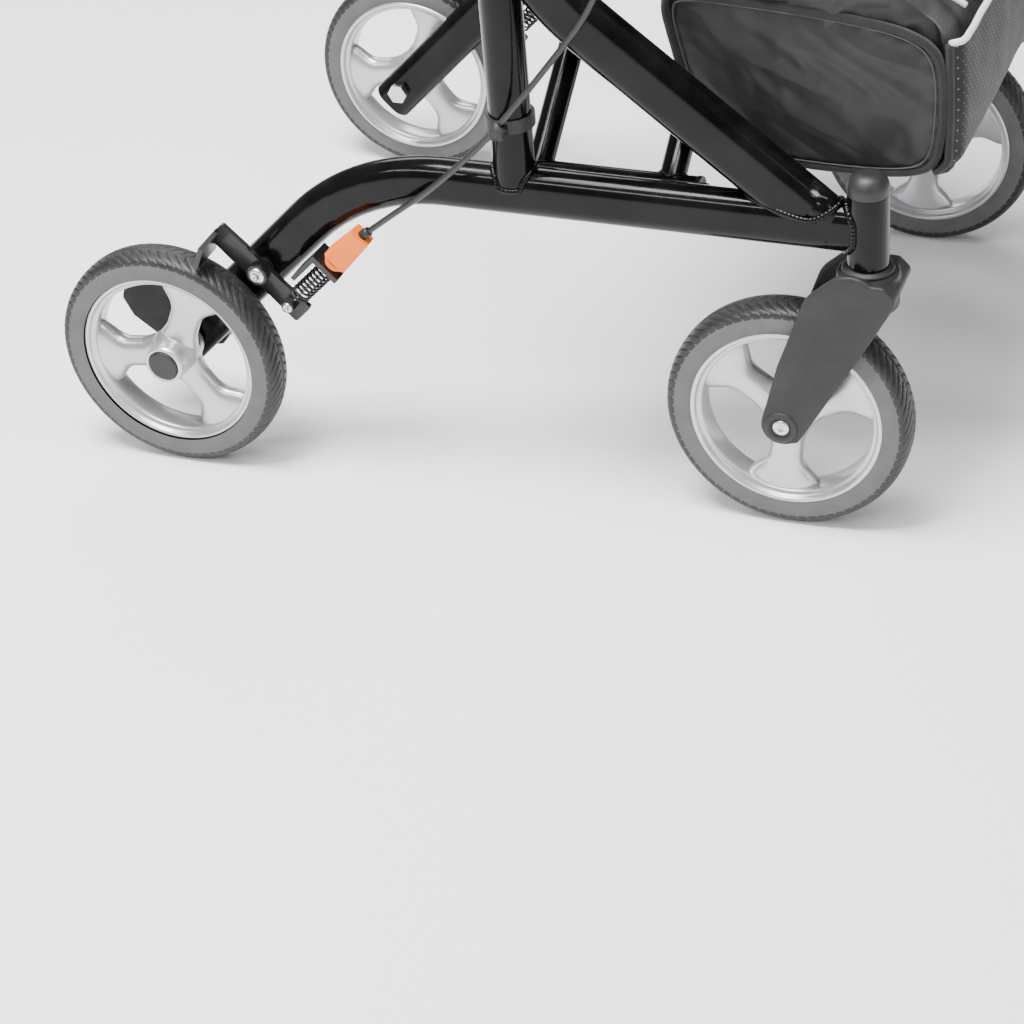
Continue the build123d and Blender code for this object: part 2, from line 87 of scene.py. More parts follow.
def add_node(tree, kind, **inputs):
    """New shader node. Each input takes a value, or the output socket that feeds it."""
    node = tree.nodes.new("ShaderNode" + kind)
    for key, value in inputs.items():
        socket = node.inputs[key.replace("_", " ")]
        if isinstance(value, bpy.types.NodeSocket):
            tree.links.new(value, socket)
        else:
            socket.default_value = value
    return node


def mix_colours(tree, factor, first, second):
    """Output of a colour mix that goes from the socket first to the colour second."""
    mix = tree.nodes.new("ShaderNodeMix")
    mix.data_type = "RGBA"
    mix.inputs["B"].default_value = (*second, 1)
    tree.links.new(factor, mix.inputs["Factor"])
    tree.links.new(first, mix.inputs["A"])
    return mix.outputs["Result"]


def material(
    name, base, rough, metallic=0.0, coat=0.0, vary=0.12, vary_scale=35, grain=0.0, grain_scale=900,
    wave=(), wave_scale=900, wave_depth=0.0, sheen=0.0, spec=0.5, edge=0.0,
):
    """Principled material with drifting colour and roughness, fine grain, and a band pattern."""
    mat = bpy.data.materials.new(name)
    mat.use_nodes = True
    nt = mat.node_tree
    shader = nt.nodes["Principled BSDF"]
    shader.inputs["Metallic"].default_value = metallic
    shader.inputs["Coat Weight"].default_value = coat
    shader.inputs["Coat Roughness"].default_value = 0.06
    shader.inputs["Sheen Weight"].default_value = sheen
    shader.inputs["Specular IOR Level"].default_value = spec
    at = add_node(nt, "TexCoord").outputs["Object"]

    drift = add_node(nt, "TexNoise", Scale=vary_scale, Detail=5, Vector=at)
    ramp = add_node(nt, "ValToRGB", Fac=drift.outputs["Fac"])
    low, high = ramp.color_ramp.elements
    low.color = (*[c * (1 - vary) for c in base], 1)
    high.color = (*[min(1, c * (1 + vary) + 0.004) for c in base], 1)
    low.position, high.position = 0.3, 0.7
    colour = ramp.outputs["Color"]

    if edge:
        pointy = add_node(nt, "NewGeometry").outputs["Pointiness"]
        worn = add_node(nt, "MapRange", Value=pointy, From_Min=0.52, From_Max=0.6, To_Max=edge)
        pale = [min(1, c * 1.6 + 0.03) for c in base]
        colour = mix_colours(nt, worn.outputs["Result"], colour, pale)
    nt.links.new(colour, shader.inputs["Base Color"])

    smudge = add_node(nt, "TexNoise", Scale=vary_scale * 2.3, Detail=6, Vector=at)
    smooth, dull = max(0.02, rough - 0.05), min(1, rough + 0.08)
    spread = add_node(nt, "MapRange", Value=smudge.outputs["Fac"], To_Min=smooth, To_Max=dull)
    nt.links.new(spread.outputs["Result"], shader.inputs["Roughness"])

    bump = None
    if grain:
        fine = add_node(nt, "TexNoise", Scale=grain_scale, Detail=3, Vector=at)
        bump = add_node(nt, "Bump", Strength=grain, Distance=0.0006, Height=fine.outputs["Fac"])
    for direction in wave:
        bands = add_node(nt, "TexWave", Scale=wave_scale, Distortion=0.6, Vector=at)
        bands.bands_direction = direction
        below = bump
        bump = add_node(nt, "Bump", Strength=wave_depth, Distance=0.0008, Height=bands.outputs["Fac"])
        if below:
            nt.links.new(below.outputs["Normal"], bump.inputs["Normal"])
    if bump:
        nt.links.new(bump.outputs["Normal"], shader.inputs["Normal"])
    return mat


PAINT = material(
    "paint_gloss_black", (0.001, 0.001, 0.0011), 0.14, coat=0.08, grain=0.06, grain_scale=700,
    vary=0.3, spec=0.14,
)
BRACKET = material(
    "paint_bracket", (0.004, 0.004, 0.0045), 0.28, coat=0.2, grain=0.12, grain_scale=700, edge=0.3,
    spec=0.35,
)
PLASTIC = material(
    "plastic_grained", (0.012, 0.012, 0.013), 0.5, spec=0.35, grain=0.35, grain_scale=1500,
    edge=0.3,
)
CAP = material("plastic_cap", (0.014, 0.014, 0.015), 0.45, spec=0.4, grain=0.2, grain_scale=1200)
RIM = material(
    "rim_silver", (0.5, 0.51, 0.525), 0.3, metallic=0.75, coat=0.2, vary=0.06, grain=0.08,
    grain_scale=1600, edge=0.3,
)
RUBBER = material(
    "tyre_rubber", (0.095, 0.095, 0.097), 0.7, vary=0.1, vary_scale=60, grain=0.3, grain_scale=1300,
    edge=0.15,
)
TREAD = material(
    "tyre_tread", (0.012, 0.012, 0.013), 0.42, vary=0.2, spec=0.4, vary_scale=60, grain=0.3,
    grain_scale=1300, edge=0.25,
)
ORANGE = material(
    "orange_plastic", (0.85, 0.17, 0.006), 0.4, spec=0.35, vary=0.05, grain=0.1, grain_scale=900,
    edge=0.2,
)
ZINC = material(
    "zinc_bolt", (0.62, 0.62, 0.63), 0.28, metallic=1.0, vary=0.1, grain=0.15, grain_scale=1500,
)
SPRING = material("spring_black", (0.008, 0.008, 0.008), 0.42, grain=0.1, spec=0.4)
JACKET = material(
    "cable_jacket", (0.012, 0.012, 0.012), 0.35, grain=0.1, wave=("Z",), wave_scale=300,
    wave_depth=0.15,
)
GRIP = material(
    "grip_rubber", (0.009, 0.009, 0.0095), 0.62, spec=0.35, grain=0.5, grain_scale=1100,
    wave=("X",), wave_scale=110, wave_depth=0.6,
)
LEVER = material(
    "lever_plastic", (0.01, 0.01, 0.0105), 0.4, spec=0.4, grain=0.2, grain_scale=1000, edge=0.3,
)
NYLON = material(
    "bag_nylon", (0.006, 0.006, 0.0065), 0.36, spec=0.4, sheen=0.12, vary=0.25, grain=0.25,
    grain_scale=1800, wave=("X", "Z"), wave_scale=420, wave_depth=0.12,
)
VINYL = material(
    "seat_cover", (0.007, 0.007, 0.0075), 0.52, spec=0.35, sheen=0.06, vary=0.2, grain=0.45,
    grain_scale=1000, wave=("X", "Y"), wave_scale=320, wave_depth=0.2,
)
WEBBING = material(
    "webbing", (0.008, 0.008, 0.0085), 0.7, spec=0.3, sheen=0.08, grain=0.3, grain_scale=1500,
    wave=("X", "DIAGONAL"), wave_scale=260, wave_depth=0.7,
)
BINDING = material(
    "binding", (0.006, 0.006, 0.0065), 0.62, spec=0.35, sheen=0.1, grain=0.4, grain_scale=1300,
    wave=("DIAGONAL",), wave_scale=380, wave_depth=0.7,
)
REFLECT = material(
    "reflective_piping", (0.66, 0.67, 0.68), 0.4, sheen=0.2, vary=0.08, grain=0.2, grain_scale=1500,
)
THREAD = material("thread", (0.05, 0.05, 0.052), 0.7, grain=0.3, grain_scale=2000)
STEEL_WIRE = material(
    "inner_wire", (0.5, 0.5, 0.5), 0.3, metallic=1.0, wave=("DIAGONAL",), wave_scale=900,
    wave_depth=0.5,
)


def dotted_mesh(name):
    """Black open mesh: small pale holes on a staggered grid in the plane of the front pocket."""
    mat = material(name, (0.005, 0.005, 0.0055), 0.6, spec=0.3, grain=0.3, grain_scale=1500)
    nt = mat.node_tree
    at = add_node(nt, "SeparateXYZ", Vector=add_node(nt, "TexCoord").outputs["Object"])
    product = nt.nodes.new("ShaderNodeMath")
    product.operation = "MULTIPLY"
    for k, (axis, pitch) in enumerate((("Y", 0.0036), ("Z", 0.0042))):
        scale = nt.nodes.new("ShaderNodeMath")
        scale.operation = "MULTIPLY"
        scale.inputs[1].default_value = math.pi / pitch
        nt.links.new(at.outputs[axis], scale.inputs[0])
        sine = nt.nodes.new("ShaderNodeMath")
        sine.operation = "SINE"
        nt.links.new(scale.outputs[0], sine.inputs[0])
        nt.links.new(sine.outputs[0], product.inputs[k])
    holes = add_node(nt, "MapRange", Value=product.outputs[0], From_Min=0.88, From_Max=0.97)
    base = nt.nodes["Principled BSDF"].inputs["Base Color"]
    thread = base.links[0].from_socket
    nt.links.new(mix_colours(nt, holes.outputs["Result"], thread, (0.22, 0.22, 0.23)), base)
    return mat


MESH = dotted_mesh("pocket_mesh")


# ---- building tools -----------------------------------------------------------------


def make(name, verts, faces, mat, body, smooth=True, sub=0, extra=()):
    """New mesh object, joined to a body and a material slot of the model when these are given."""
    mesh = bpy.data.meshes.new(name)
    mesh.from_pydata([tuple(v) for v in verts], [], [tuple(f) for f in faces])
    mesh.materials.append(mat)
    for m in extra:
        mesh.materials.append(m)
    bm = bmesh.new()
    bm.from_mesh(mesh)
    bmesh.ops.remove_doubles(bm, verts=bm.verts, dist=1e-7)
    bmesh.ops.recalc_face_normals(bm, faces=bm.faces)
    bm.to_mesh(mesh)
    bm.free()
    obj = bpy.data.objects.new(name, mesh)
    bpy.context.scene.collection.objects.link(obj)
    for p in mesh.polygons:
        p.use_smooth = smooth
    if sub:
        mod = obj.modifiers.new("sub", "SUBSURF")
        mod.levels = sub
        mod.render_levels = sub
    if body:
        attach(obj, body)
    return obj


def grid_faces(rows, cols, wrap_cols=True, wrap_rows=False, start=0):
    """Quads over a grid of points, closed over the columns or the rows if asked."""
    faces = []
    for i in range(rows if wrap_rows else rows - 1):
        for j in range(cols if wrap_cols else cols - 1):
            a = start + i * cols + j
            b = start + i * cols + (j + 1) % cols
            c = start + ((i + 1) % rows) * cols + (j + 1) % cols
            d = start + ((i + 1) % rows) * cols + j
            faces.append((a, b, c, d))
    return faces


def tube_mesh(points, radius, segments=12, closed=False):
    """Vertices and faces of a tube along points; radius is one number or one for each point."""
    pts = [Vector(p) for p in points]
    n = len(pts)
    radii = radius if hasattr(radius, "__len__") else [radius] * n
    tangents = []
    for i in range(n):
        a = pts[(i - 1) % n] if closed or i > 0 else pts[i]
        b = pts[(i + 1) % n] if closed or i < n - 1 else pts[i]
        tangents.append((b - a).normalized())
    up = Vector((0, 0, 1)) if abs(tangents[0].z) < 0.9 else Vector((1, 0, 0))
    side = tangents[0].cross(up).normalized()
    verts = []
    for i in range(n):
        side = (side - tangents[i] * side.dot(tangents[i])).normalized()
        top = side.cross(tangents[i]).normalized()
        for k in range(segments):
            a = 2 * math.pi * k / segments
            verts.append(pts[i] + side * (math.cos(a) * radii[i]) + top * (math.sin(a) * radii[i]))
    faces = grid_faces(n, segments, True, closed)
    if not closed:
        faces.append(tuple(range(segments)))
        faces.append(tuple(reversed(range((n - 1) * segments, n * segments))))
    return verts, faces


def tube(name, points, radius, mat, body, segments=12, closed=False):
    """Tube along points as an object."""
    v, f = tube_mesh(points, radius, segments, closed)
    return make(name, v, f, mat, body)


def lathe(name, profile, centre, axis, mat, body, segments=48):
    """Turn (radius, height) pairs round axis through centre."""
    z = Vector(axis).normalized()
    x = z.orthogonal().normalized()
    y = z.cross(x)
    c = Vector(centre)
    verts = []
    for r, h in profile:
        for k in range(segments):
            a = 2 * math.pi * k / segments
            verts.append(c + z * h + (x * math.cos(a) + y * math.sin(a)) * max(r, 1e-5))
    return make(name, verts, grid_faces(len(profile), segments), mat, body)


# ---- CAD nodes that stay: finer edges and their own materials ------------------------
PAINTED = {
    "lower_rail": PAINT, "main_tube": PAINT, "upright_leg": PAINT, "head_tube": PAINT,
    "head_cap": CAP, "rear_axle": ZINC, "brake_bracket": BRACKET, "brake_arm": BRACKET,
    "brake_adjuster": ORANGE, "cable_clip": PLASTIC, "handle_tube": PAINT, "hand_grip": GRIP,
    "lever_mount": PLASTIC, "brake_lever": LEVER, "handle_collar": PLASTIC, "height_knob": PLASTIC,
    "pivot_mount": BRACKET, "seat_saddle": PLASTIC,
}
BEVELS = {
    "brake_adjuster": 0.0014, "brake_lever": 0.0012, "height_knob": 0.0016, "handle_collar": 0.0015,
    "lever_mount": 0.0012, "cable_clip": 0.0009, "brake_arm": 0.0007, "seat_saddle": 0.001,
}


def dress(node, mat, width):
    """Give a CAD node its material and a finely rounded edge."""
    obj = NODES[node]
    obj.data.materials.clear()
    obj.data.materials.append(mat)
    for p in obj.data.polygons:
        p.material_index = 0
        p.use_smooth = True
    weld = obj.modifiers.new("weld", "WELD")
    weld.merge_threshold = 0.00001
    bevel = obj.modifiers.new("bevel", "BEVEL")
    bevel.width = width
    bevel.segments = 3
    bevel.limit_method = "ANGLE"
    bevel.angle_limit = math.radians(38)
    bevel.use_clamp_overlap = True
    normals = obj.modifiers.new("normals", "WEIGHTED_NORMAL")
    normals.keep_sharp = True


for base, mat in PAINTED.items():
    for side, _ in SIDES:
        dress(f"{base}_{side}", mat, BEVELS.get(base, 0.0006))
for node in ("brace_a", "brace_b"):
    dress(node, PAINT, 0.0006)
dress("centre_bolts", ZINC, 0.0006)
dress("curb_pedal", PLASTIC, 0.0025)


# ---- tyres --------------------------------------------------------------------------


def tyre(name, node, body):
    """Flat grey sides and a rounded crown cut by slanted curved sipes, mirrored about the middle."""
    centre = sum(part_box(node), Vector()) / 2
    profile = []
    for y, r in ((-15.4, 77.9), (-15.9, 80), (-16.0, 84), (-15.9, 88), (-15.5, 91)):
        profile.append((y, r, 0))
    steps = 26
    for i in range(steps + 1):
        a = math.pi * i / steps
        y = -15.4 * math.cos(a)
        r = 91.5 + 8.4 * max(0.0, math.sin(a)) ** 0.62
        profile.append((y, r, 1))
    for y, r in ((15.5, 91), (15.9, 88), (16.0, 84), (15.9, 80), (15.4, 77.9)):
        profile.append((y, r, 0))
    rounds = 1152
    pitch = 2 * math.pi / 72
    verts = []
    for y, r, crown in profile:
        for k in range(rounds):
            a = 2 * math.pi * k / rounds
            depth = 0
            if crown and r > 92.3:
                t = abs(y) / 15.4
                phase = (a + 0.17 * t**1.6) / pitch + (0.5 if y > 0 else 0)
                d = abs((phase % 1) - 0.5) * 2
                cut = min(1, max(0, (d - 0.84) / 0.08))
                depth = 1.5 * cut * min(1, max(0, (t - 0.1) / 0.08)) * min(1, (r - 92.3) / 1.2)
                if t < 0.05:
                    depth = 0.9
            rr = (r - depth) / 1000
            verts.append((centre.x + rr * math.cos(a), centre.y + y / 1000, centre.z + rr * math.sin(a)))
    obj = make(name, verts, grid_faces(len(profile), rounds), RUBBER, body, extra=(TREAD,))
    for p in obj.data.polygons:
        v = p.center - centre
        if math.hypot(v.x, v.z) > 0.0925:
            p.material_index = 1
    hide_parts(node)


for side, sign in SIDES:
    tyre(f"rear_tyre_tread_{side}", f"rear_tyre_{side}", f"rear_wheel_{side}")
    tyre(f"front_tyre_tread_{side}", f"front_tyre_{side}", f"front_wheel_{side}")


# ---- rims with domed, flared spokes ---------------------------------------------------


def closed_lathe(profile, centre, segments=144):
    """Ring turned about the wheel axis (Y) from a closed outline of (radius, offset) in mm."""
    verts = []
    for r, h in profile:
        for k in range(segments):
            a = 2 * math.pi * k / segments
            verts.append(centre + Vector((r * math.cos(a), h, r * math.sin(a))) / 1000)
    return verts, grid_faces(len(profile), segments, True, True)


def ease(x, x0, x1):
    """Smooth step from 0 at x0 to 1 at x1."""
    t = min(1, max(0, (x - x0) / (x1 - x0)))
    return t * t * (3 - 2 * t)


def rim(name, node, body, first, bore, half_hub):
    """Stepped barrel, hub and three spokes that widen towards the barrel."""
    centre = sum(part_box(node), Vector()) / 2
    barrel = [
        (78.3, 14.6), (77.6, 15.6), (76.2, 15.9), (74.8, 15.4), (74.2, 14.0), (73.6, 12.2), (72.2, 11.4),
        (70.6, 11.0), (69.8, 9.8), (69.3, 5), (69.2, 0), (69.3, -5), (69.8, -9.8), (70.6, -11.0),
        (72.2, -11.4), (73.6, -12.2), (74.2, -14.0), (74.8, -15.4), (76.2, -15.9), (77.6, -15.6),
        (78.3, -14.6), (78.5, -8), (78.5, 8),
    ]
    verts, faces = closed_lathe(barrel, centre)
    h = half_hub
    hub = [
        (bore, h), (15.6, h), (16.8, h - 0.5), (17.2, h - 1.8), (17.4, h - 6), (18.6, 9.5), (21, 6.5),
        (22.5, 0), (21, -6.5), (18.6, -9.5), (17.4, 6 - h), (17.2, 1.8 - h), (16.8, 0.5 - h), (15.6, -h),
        (bore, -h),
    ]
    v, f = closed_lathe(hub, centre, 72)
    faces += [[i + len(verts) for i in face] for face in f]
    verts += v
    for n in range(3):
        a0 = first + n * 2 * math.pi / 3
        radial = Vector((math.cos(a0), 0, math.sin(a0)))
        side = Vector((-math.sin(a0), 0, math.cos(a0)))
        start = len(verts)
        rows, cols = 40, 36
        for i in range(rows):
            r = 10 + 60.5 * i / (rows - 1)
            width = 13.6 + 3.6 * (1 - ease(r, 12, 28)) + 16.5 * ease(r, 38, 74) ** 1.4
            thick = 9.4 + 0.6 * (1 - ease(r, 14, 34)) + 0.8 * ease(r, 52, 70)
            for k in range(cols):
                a = 2 * math.pi * k / cols
                c, q = math.cos(a), math.sin(a)
                s = width * c
                y = thick * math.copysign(abs(q) ** 0.85, q)
                reach = math.sqrt(max((0.75 * r) ** 2, r * r - s * s * ease(r, 34, 60)))
                p = centre + (radial * reach + side * s + Vector((0, y, 0))) / 1000
                verts.append(p)
        f = grid_faces(rows, cols, True, False, start)
        f.append(tuple(range(start, start + cols)))
        f.append(tuple(reversed(range(start + (rows - 1) * cols, start + rows * cols))))
        faces += f
    obj = make(name, verts, faces, RIM, body)
    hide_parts(node)


for side, sign in SIDES:
    rim(f"rear_rim_cast_{side}", f"rear_rim_{side}", f"rear_wheel_{side}", math.radians(67), 6.1, 20)
    rim(f"front_rim_cast_{side}", f"front_rim_{side}", f"front_wheel_{side}", math.radians(25), 5.1, 19.5)


# ---- moulded caster forks -------------------------------------------------------------


def prism(outline, y0, y1):
    """Closed prism of an XZ outline (metres) between two Y values."""
    n = len(outline)
    verts = [(x, y0, z) for x, z in outline] + [(x, y1, z) for x, z in outline]
    faces = [(i, (i + 1) % n, n + (i + 1) % n, n + i) for i in range(n)]
    faces += [tuple(reversed(range(n))), tuple(range(n, 2 * n))]
    return verts, faces


def hull_outline(circles, count=72):
    """Convex outline round some circles, as support points in even directions."""
    pts = []
    for k in range(count):
        a = 2 * math.pi * k / count
        d = Vector((math.cos(a), math.sin(a)))
        best = max(circles, key=lambda c: c[0] * d.x + c[1] * d.y + c[2])
        pts.append((best[0] + best[2] * d.x, best[1] + best[2] * d.y))
    return pts


# Circles (x, z, radius) that the fork's cheek is stretched round, from the axle up to the crown.
CHEEK_CIRCLES = (
    (FRONT_AXLE_X, AXLE_Z, 0.0168),
    (0.262, 0.150, 0.0205),
    (0.286, 0.205, 0.0245),
    (0.300, 0.218, 0.024),
)
for side, sign in SIDES:
    node = f"caster_fork_{side}"
    source = NODES[node]
    verts = [source.matrix_world @ v.co for v in source.data.vertices]
    faces = [tuple(p.vertices) for p in source.data.polygons]
    cheek = hull_outline(CHEEK_CIRCLES)
    for inner, outer in ((0.0207, 0.0268), (-0.0268, -0.0207)):
        v, f = prism(cheek, sign * FRAME_Y + inner, sign * FRAME_Y + outer)
        faces += [[i + len(verts) for i in face] for face in f]
        verts += [Vector(p) for p in v]
    fork = make(f"fork_moulded_{side}", verts, faces, PLASTIC, None)
    remesh = fork.modifiers.new("remesh", "REMESH")
    remesh.mode = "VOXEL"
    remesh.voxel_size = 0.0013
    smooth = fork.modifiers.new("smooth", "SMOOTH")
    smooth.factor = 0.5
    smooth.iterations = 9
    dg = bpy.context.evaluated_depsgraph_get()
    done = bpy.data.meshes.new_from_object(fork.evaluated_get(dg))
    fork.modifiers.clear()
    fork.data = done
    done.materials.clear()
    done.materials.append(PLASTIC)
    for p in done.polygons:
        p.use_smooth = True
    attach(fork, f"caster_{side}")
    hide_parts(node)


# ---- lower ends of the diagonal tubes -------------------------------------------------
for side, sign in SIDES:
    fall = Vector((math.cos(DIAGONAL_SLOPE), 0, -math.sin(DIAGONAL_SLOPE)))
    lift = Vector((math.sin(DIAGONAL_SLOPE), 0, math.cos(DIAGONAL_SLOPE)))
    ring = [(0.0139 * math.cos(a), 0.00915 + 0.0139 * math.sin(a)) for a in np.linspace(0, math.pi, 29)]
    ring += [(-0.0139, -0.005), (0.0139, -0.005)]
    verts = []
    start = Vector((0.2526, sign * FRAME_Y, 0.28942))
    for step in (0, 0.02, 0.038):
        for y, up in ring:
            verts.append(start + fall * step + lift * up + Vector((0, y, 0)))
    n = len(ring)
    faces = grid_faces(3, n) + [tuple(range(n)), tuple(reversed(range(2 * n, 3 * n)))]
    end = make(f"diagonal_end_{side}", verts, faces, PAINT, f"frame_{side}")
    for p in end.data.polygons:
        p.use_smooth = len(p.vertices) == 4


# ---- weld beads ---------------------------------------------------------------------


def bead(name, points, body, radius=0.0026, pitch=0.0032):
    """A row of overlapping ripples along a seam."""
    pts = [Vector(p) for p in points]
    dense = []
    for a, b in zip(pts, pts[1:]):
        n = max(1, round((b - a).length / 0.0006))
        dense += [a.lerp(b, i / n) for i in range(n)]
    dense.append(pts[-1])
    travelled = 0
    radii = []
    for i, p in enumerate(dense):
        if i:
            travelled += (p - dense[i - 1]).length
        phase = (travelled % pitch) / pitch
        radii.append(radius * (0.78 + 0.22 * math.sqrt(max(0, 1 - (2 * phase - 1) ** 2))))
    return tube(name, dense, radii, PAINT, body, segments=10)


def rail_top(dy):
    """Height of the rail's rounded top at dy from its middle."""
    return RAIL_Z + 0.006 + math.sqrt(max(0, RAIL_HALF_WIDTH**2 - dy**2))


for side, sign in SIDES:
    body = f"frame_{side}"
    yc = sign * FRAME_Y
    ring = []
    for i in range(61):
        a = math.radians(-90 * sign + 42 + 276 * i / 60)
        dy = 0.0165 * math.sin(a)
        ring.append((LEG_X + 0.0168 * math.cos(a), yc + dy, rail_top(dy) + 0.0006))
    bead(f"weld_leg_{side}", ring, body)

    # Diagonal tube on the rail: the tube's oval section projected on to the rail's top.
    ring = []
    for i in range(97):
        a = 2 * math.pi * i / 96
        across, along = 0.014 * math.sin(a), 0.023 * math.cos(a)
        z = rail_top(across * 0.98)
        x = 0.262 - (z - 0.282) / math.tan(DIAGONAL_SLOPE) + along / math.sin(DIAGONAL_SLOPE)
        ring.append((x, yc + across * 1.03, z + 0.0004))
    bead(f"weld_diagonal_{side}", [p for p in ring if p[0] < 0.29], body)

    # Rail on the head tube: the rail's oval section projected on to the round tube.
    ring = []
    for i in range(97):
        a = 2 * math.pi * i / 96
        dz = 0.02 * math.sin(a)
        beyond = max(0, abs(dz) - 0.006)
        dy = math.copysign(math.sqrt(max(0, RAIL_HALF_WIDTH**2 - beyond**2)), math.cos(a))
        ring.append((HEAD_X - math.sqrt(0.016**2 - dy**2) - 0.0003, yc + dy, RAIL_Z + dz))
    bead(f"weld_head_{side}", ring, body, radius=0.003)

    # Leg under the bend of the main tube.
    ring = []
    centre = Vector((0.222, 0.569))
    for i in range(97):
        a = math.pi * (0.5 + i / 96) * 2
        x, dy = LEG_X + 0.0166 * math.cos(a), 0.0166 * math.sin(a)
        reach = 0.209 + math.sqrt(max(0, RAIL_HALF_WIDTH**2 - dy**2))
        drop = math.sqrt(max(0, reach**2 - (centre.x - x) ** 2))
        ring.append((x, yc + dy, centre.y - drop - 0.0004))
    bead(f"weld_upright_{side}", ring, body, radius=0.0024)

for node, side_sign, arms in (("brace_a", -1, (0.035, 0.144)), ("brace_b", 1, (0.060, 0.120))):
    rise = Vector((0, -side_sign * 0.418, 0.302)).normalized()
    for index, arm in enumerate(arms):
        for end, r_tube, z, y in (
            ("foot", 0.0115, RAIL_Z, side_sign * PIVOT_Y),
            ("head", 0.011, SEAT_RAIL_Z, -side_sign * PIVOT_Y),
        ):
            ring = []
            direction = rise if end == "foot" else -rise
            across = Vector((1, 0, 0))
            other = direction.cross(across)
            for i in range(61):
                a = 2 * math.pi * i / 60
                offset = across * math.cos(a) * 0.0106
                height = math.sqrt(max(0, r_tube**2 - (0.0105 * math.sin(a)) ** 2))
                p = Vector((arm, y, z)) + offset + other * math.sin(a) * 0.0106 + direction * height
                ring.append(p)
            bead(f"weld_{node}_{end}_{index}", ring, node, radius=0.0015)


# ---- wheel and bolt details ---------------------------------------------------------


def bolt_head(name, centre, axis, radius, height, body):
    """Low domed head with a round recess for the drive."""
    outline = (
        (0.0, 0.35), (0.3, 0.38), (0.36, 0.8), (0.6, 0.96), (0.9, 0.7), (1.0, 0.25), (1.0, 0.0),
    )
    profile = [(radius * r, height * h) for r, h in outline]
    return lathe(name, profile, centre, axis, ZINC, body, 32)


def fork_trim(side, sign):
    """Axle bolts in their recesses, the hub faces between the blades, and the crown's ring."""
    fork = f"caster_{side}"
    for tag, way in (("outer", sign), ("inner", -sign)):
        place = (FRONT_AXLE_X, sign * FRAME_Y + way * 0.027, AXLE_Z)
        profile = [
            (0.0135, -0.0004), (0.0135, 0.0004), (0.0118, 0.0013), (0.0092, 0.0013), (0.0086, 0.0002),
            (0.0, 0.0001),
        ]
        name = f"fork_bolt_seat_{tag}_{side}"
        lathe(name, profile, place, (0, way, 0), PLASTIC, fork, 40)
        bolt_head(f"fork_bolt_{tag}_{side}", place, (0, way, 0), 0.0068, 0.0016, fork)
        place = (FRONT_AXLE_X, sign * FRAME_Y + way * 0.0195, AXLE_Z)
        profile = [(0.0058, 0.0), (0.0058, 0.0003), (0.0162, 0.0003), (0.0172, -0.0008)]
        name = f"front_hub_ring_{tag}_{side}"
        lathe(name, profile, place, (0, way, 0), RIM, f"front_wheel_{side}", 48)
    profile = [(0.0178, 0.0), (0.0196, 0.0004), (0.0202, 0.0016), (0.0196, 0.0030), (0.0176, 0.0038)]
    place = (HEAD_X, sign * FRAME_Y, 0.2362)
    lathe(f"fork_ring_{side}", profile, place, (0, 0, 1), PLASTIC, fork, 48)


def rear_hub_trim(side, sign):
    """Dark cap on the axle's end inside a pale ring on the hub."""
    axle = NODES[f"rear_axle_{side}"].data
    axle.materials.append(CAP)
    for p in axle.polygons:
        if abs(p.center.y) > 0.2925:
            p.material_index = 1
    profile = [
        (0.0134, 0.0), (0.0134, 0.0042), (0.0146, 0.0048), (0.0162, 0.0042), (0.0174, 0.0),
        (0.0172, -0.003),
    ]
    place = (REAR_AXLE_X, sign * 0.293, AXLE_Z)
    lathe(f"hub_ring_{side}", profile, place, (0, sign, 0), RIM, f"rear_wheel_{side}", 56)


def brake_trim(side, sign):
    """Bolt heads, spring, inner wire, adjuster ribs and the squared ends of the brake plate."""
    frame_body, arm = f"frame_{side}", f"brake_arm_{side}"
    out = (0, sign, 0)
    x, z = BRAKE_PIVOT
    bolt_head(f"brake_pivot_head_{side}", (x, sign * 0.267, z), out, 0.0072, 0.0022, frame_body)
    x, z = brake_point(0, CABLE_LINE)
    bolt_head(f"cable_clamp_head_{side}", (x, sign * 0.269, z), out, 0.0045, 0.002, arm)

    def along(u):
        x, z = brake_point(u, CABLE_LINE)
        return Vector((x, sign * CABLE_Y, z))

    # Round sections across the cable's line are laid out on these two directions.
    axis = Vector((1, 0, 1)).normalized()
    e1 = Vector((0, 1, 0))
    e2 = axis.cross(e1)

    def around(u, radius, angle):
        return along(u) + (e1 * math.cos(angle) + e2 * math.sin(angle)) * radius

    turns, steps, length = 9.2, 460, 0.0414
    coil = [
        around(0.012 + length * i / steps, 0.0075, 2 * math.pi * turns * i / steps)
        for i in range(steps + 1)
    ]
    spring = tube(f"spring_coil_{side}", coil, 0.0011, SPRING, arm, 8)
    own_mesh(spring)
    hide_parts(f"brake_spring_{side}")
    line = [along(u) for u in np.linspace(0, 0.061, 12)]
    tube(f"inner_wire_{side}", line, 0.0008, STEEL_WIRE, frame_body, 8)

    for i, (u, radius) in enumerate(((0.0616, 0.0072), (0.0626, 0.0072), (0.0676, 0.0078))):
        ring = [around(u, radius, t) for t in np.linspace(0, 2 * math.pi, 33)[:-1]]
        name = f"adjuster_rib_{i}_{side}"
        tube(name, ring, 0.0007, ORANGE, frame_body, 8, closed=True)

    y0, y1 = sorted((sign * 0.2568, sign * 0.2614))
    for tag, near, far in (("upper", -0.047, -0.022), ("lower", 0.022, 0.0475)):
        corners = []
        for u, v in ((-0.0072, near), (0.0072, near), (0.0078, far), (-0.0078, far)):
            corners.append((*brake_point(u, v), 0.0026))
        v, f = prism(hull_outline(corners), y0, y1)
        make(f"brake_plate_{tag}_{side}", v, f, BRACKET, arm, smooth=False)


for side, sign in SIDES:
    fork_trim(side, sign)
    rear_hub_trim(side, sign)
    brake_trim(side, sign)


# ---- brake cables -------------------------------------------------------------------


